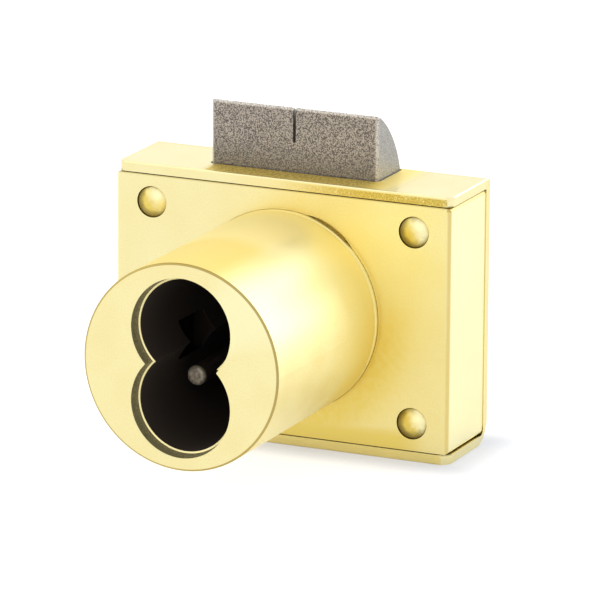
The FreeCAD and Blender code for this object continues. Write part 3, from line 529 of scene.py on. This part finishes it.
def post_brass():
    """Domed ends: gold with painted shade that darkens to olive towards their lower left edge, with a
    few pits.
    """
    g = Graph("post_brass")
    x, y, z = g.separate(g.place)
    offsets = []
    for value, low, high in ((x, *post_centres(0)), (z, *post_centres(2))):
        offset = g.minus(value, (low + high) / 2)
        offset = g.minus(offset, g.times(g.math("SIGN", offset), (high - low) / 2))
        offsets.append(g.over(offset, DOME_RADIUS))
    cloud = g.noise(SMALL_CLOUD, detail=3.0)
    pits = g.dots(*DOME_PITS)
    # Painted shade towards the lower left edge of each dome
    lean = g.along(offsets, DOME_DARK_SIDE)
    shade = g.plus(g.length(*offsets), g.times(lean, DOME_LEAN), g.spread(cloud, -0.08, 0.08))
    shade = g.times(g.ramp(shade, 0.45, 1.0), g.below(y, DOME_END), 0.8)
    colour = g.coats(BRASS_CLEAN,
                     (g.ramp(g.plus(lean, g.spread(cloud, -0.15, 0.15)), -0.6, 0.2), BRASS_DEEP),
                     (shade, DOME_OLIVE),
                     (g.times(pits, 0.7), BRASS_DARK))
    g.bump(g.minus(g.times(cloud, 0.2), pits), DOME_RELIEF)
    return g.finish(colour, g.spread(cloud, 0.42, 0.5))


def screw_brass():
    """Plain brass with fine turning marks."""
    g = Graph("screw_brass")
    cloud = g.noise(SMALL_CLOUD, detail=3.0)
    g.bump(g.noise(SCREW_RINGS, detail=1.0), SCREW_RELIEF)
    colour = g.blend(g.ramp(cloud, 0.3, 0.75), BRASS_PALE, BRASS_DEEP)
    return g.finish(colour, g.spread(cloud, 0.2, 0.32))


def throw_steel():
    """Grey at the prongs' tips, with painted shade in black behind them."""
    g = Graph("throw_steel")
    y = g.separate(g.place)[1]
    # Painted shade: black behind the grey tips
    tip = g.ramp(y, PRONG_FRONT + TIP_LENGTH, PRONG_FRONT)
    grain = g.noise(PRONG_GRAIN, detail=3.0, rough=0.6)
    grey = g.blend(g.ramp(grain, 0.25, 0.70), PRONG_DARK, PRONG_GREY)
    g.bump(grain, PRONG_RELIEF)
    return g.finish(g.blend(tip, POCKET_BLACK, grey), g.spread(grain, 0.45, 0.6), g.times(tip, 0.5))


def steel(name, light, grain_size, factors, smooth, rough):
    """Cloudy steel whose grain is narrower by the factors along X, Y and Z."""
    g = Graph(name)
    grain = g.noise(grain_size, detail=3.0, factors=factors)
    cloud = g.noise(STEEL_CLOUD)
    colour = g.coats(light,
                     (g.ramp(grain, 0.3, 0.7, 0.0, 0.5), STEEL_DARK),
                     (g.ramp(cloud, 0.4, 0.9, 0.0, 0.4), STEEL_DARK))
    g.bump(grain, STEEL_RELIEF)
    return g.finish(colour, g.spread(grain, smooth, rough))


def bolt_sintered():
    """Speckled sintered metal: strong specks on the front, painted highlights on the edges, painted
    shade on the lower part, and plainer grey on the sides and back."""
    g = Graph("bolt_sintered")
    x, y, z = g.separate(g.place)
    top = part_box("latch_bolt")[1].z
    grain = g.noise(SINTER_GRAIN, detail=1.0, twist=0.4)
    fine = g.noise(SINTER_FINE, rough=0.6)
    speck = g.plus(g.times(grain, 0.85), g.times(fine, 0.15))
    side = g.least(g.minus(x, BOLT_LEFT), g.minus(BOLT_RIGHT, x))
    # Painted highlight on the side edges and along the top
    wear_and_edge_highlight = g.most(g.ramp(side, 0.55 * MM, 0.25 * MM), g.ramp(z, top - 0.5 * MM, top - 0.3 * MM))
    rich = g.coats(g.blend(g.ramp(speck, 0.38, 0.62), SINTER_DARK, SINTER_LIGHT),
                   # Painted shade on the lower part
                   (g.ramp(z, top - BOLT_LOW_FROM, top - BOLT_LOW_FULL, 0.0, 0.45), SINTER_LOW),
                   (g.times(wear_and_edge_highlight, g.ramp(grain, 0.3, 0.6, 0.35, 0.75)), SINTER_EDGE))
    plain = g.blend(g.ramp(speck, 0.3, 0.7), SINTER_SIDE_DARK, SINTER_SIDE_LIGHT)
    front = g.ramp(y, BOLT_FRONT + 0.7 * MM, BOLT_FRONT + 0.2 * MM)
    g.bump(speck, SINTER_RELIEF)
    return g.finish(g.blend(front, plain, rich), g.spread(fine, 0.45, 0.62), SINTER_METALLIC)


def dress(frame):
    """Gives every solid the finish of its slot."""
    finishes = {
        "case_brass": case_brass(),
        "cover_brass": cover_brass(),
        "barrel_brass": barrel_brass(),
        "post_brass": post_brass(),
        "screw_brass": screw_brass(),
        "plate_steel": steel("plate_steel", STEEL_GREY, SHEET_GRAIN, (1, 1, 0.06), 0.3, 0.45),
        "throw_steel": throw_steel(),
        "spring_steel": steel("spring_steel", WIRE_GREY, WIRE_GRAIN, (1, 1, 1), 0.18, 0.3),
        "bolt_sintered": bolt_sintered(),
    }
    slots = {part["node"]: part["material_slot"] for part in frame["record"]["subparts"]}
    for name, obj in frame["nodes"].items():
        obj.data.materials.clear()
        obj.data.materials.append(finishes[slots[name]])


def direction(azimuth, elevation):
    """Unit vector from the lock towards a place in degrees of azimuth and elevation."""
    azimuth = radians(azimuth)
    elevation = radians(elevation)
    return Vector((sin(azimuth) * cos(elevation), -cos(azimuth) * cos(elevation), sin(elevation)))


def softbox(name, angles, distance, width, height, power):
    """Rectangular light that faces the lock."""
    aim = direction(*angles)
    data = bpy.data.lights.new(name, "AREA")
    data.shape = "RECTANGLE"
    data.size = width
    data.size_y = height
    data.energy = power
    lamp = bpy.data.objects.new(name, data)
    lamp.location = aim * distance
    lamp.rotation_euler = aim.to_track_quat("Z", "Y").to_euler()
    lamp.visible_camera = False
    bpy.context.scene.collection.objects.link(lamp)


def world():
    """White surroundings, dimmer for the light that diffuse surfaces get."""
    made = bpy.data.worlds.new("surroundings")
    made.use_nodes = True
    tree = made.node_tree
    paths = tree.nodes.new("ShaderNodeLightPath")
    seen = paths.outputs["Is Camera Ray"]
    for name in ("Is Glossy Ray", "Is Transmission Ray"):
        either = tree.nodes.new("ShaderNodeMath")
        either.operation = "MAXIMUM"
        tree.links.new(seen, either.inputs[0])
        tree.links.new(paths.outputs[name], either.inputs[1])
        seen = either.outputs[0]
    strength = tree.nodes.new("ShaderNodeMapRange")
    strength.inputs["To Min"].default_value = AMBIENT
    strength.inputs["To Max"].default_value = 1.0
    tree.links.new(seen, strength.inputs["Value"])
    background = tree.nodes["Background"]
    background.inputs["Color"].default_value = WHITE + (1.0,)
    tree.links.new(strength.outputs["Result"], background.inputs["Strength"])
    bpy.context.scene.world = made


def floor_white():
    """White that gives off light of its own, less of it round the case's foot as a painted contact
    shadow.
    """
    g = Graph("floor_white")
    x, y, _ = g.separate(g.place)
    low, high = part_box("back_cover")
    # Painted contact shadow: a patch round the case's foot where the floor's glow is dimmer and bluer
    gaps = []
    for value, start, end in ((x, FOOT_SHADE_START, high.x), (y, low.y, high.y)):
        gap = g.minus(g.distance(value, (start + end) / 2), (end - start) / 2)
        gaps.append(g.most(gap, 0.0))
    shade = g.ramp(g.length(*gaps), FOOT_SHADE_REACH, 0.0)
    seen = g.add("ShaderNodeLightPath").outputs["Is Camera Ray"]
    glow = g.plus(g.times(seen, FLOOR_SEEN), FLOOR_GLOW)
    g.feed(g.shader.inputs["Emission Color"], g.blend(shade, WHITE, FOOT_SHADE_BLUE))
    strength = g.times(glow, g.minus(1.0, g.times(shade, FOOT_SHADE)))
    g.feed(g.shader.inputs["Emission Strength"], strength)
    g.feed(g.shader.inputs["Specular IOR Level"], 0.0)
    return g.finish((FLOOR_ALBEDO,) * 3, FLOOR_ROUGH, metallic=0.0)


def floor():
    """White floor under the lock, which keeps the shadow."""
    half = FLOOR_SIZE / 2
    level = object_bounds()[0][2]
    mesh = bpy.data.meshes.new("floor")
    corners = [(-half, -half, level), (half, -half, level), (half, half, level), (-half, half, level)]
    mesh.from_pydata(corners, [], [(0, 1, 2, 3)])
    obj = bpy.data.objects.new("floor", mesh)
    bpy.context.scene.collection.objects.link(obj)
    obj.data.materials.append(floor_white())
    obj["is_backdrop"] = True


def camera():
    """The photograph's camera, which looks at a point a little to the lower left of the origin."""
    back = direction(CAMERA_AZIMUTH, CAMERA_ELEVATION)
    level = direction(CAMERA_AZIMUTH + 90, 0)
    upright = back.cross(level)
    roll = radians(CAMERA_ROLL)
    right = level * cos(roll) + upright * sin(roll)
    up = upright * cos(roll) - level * sin(roll)
    data = bpy.data.cameras.new("camera")
    data.lens = CAMERA_LENS
    data.sensor_width = SENSOR_WIDTH
    data.clip_end = 2 * FLOOR_SIZE
    obj = bpy.data.objects.new("camera", data)
    turn = Matrix((right, up, back)).transposed()
    place = back * CAMERA_DISTANCE + right * CAMERA_RIGHT + up * CAMERA_UP
    obj.matrix_world = Matrix.Translation(place) @ turn.to_4x4()
    bpy.context.scene.collection.objects.link(obj)
    bpy.context.scene.camera = obj


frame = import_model()
bpy.context.scene.view_settings.view_transform = "Standard"
camera()
world()
floor()
for name, settings in SOFTBOXES.items():
    softbox(name, *settings)
dress(frame)
